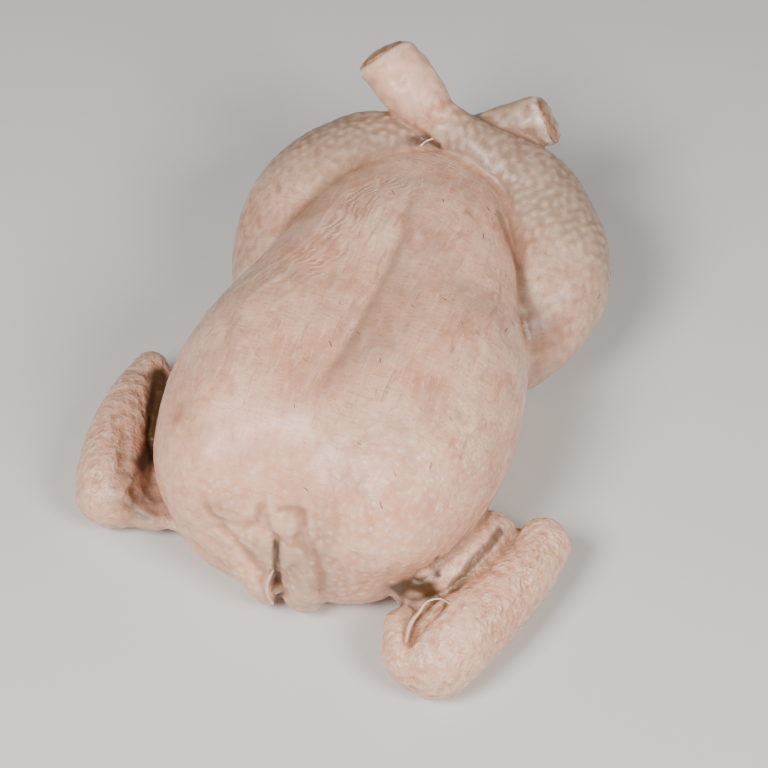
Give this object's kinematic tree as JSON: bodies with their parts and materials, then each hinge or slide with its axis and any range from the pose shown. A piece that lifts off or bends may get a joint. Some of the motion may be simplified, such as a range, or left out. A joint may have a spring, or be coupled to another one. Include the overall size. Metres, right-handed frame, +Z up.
{
  "type": "whole chicken",
  "caption": "Whole oven-ready raw chicken lying on its back, drumsticks crossed over the tail and wings folded beside the breast.",
  "frame": {"origin": "centre of the outline seen from above, at the height of the surface that the bird lies on", "axes": "+Y from the neck end to the tail, +Z up out of the breast, +X to the bird's side that is on the right when seen from the neck end with the breast up"},
  "size_m": [0.2183, 0.2763, 0.1183],
  "materials": {
    "skin": "satin"
  },
  "bodies": {
    "root": {"whole_chicken": "skin"}
  },
  "joints": []
}
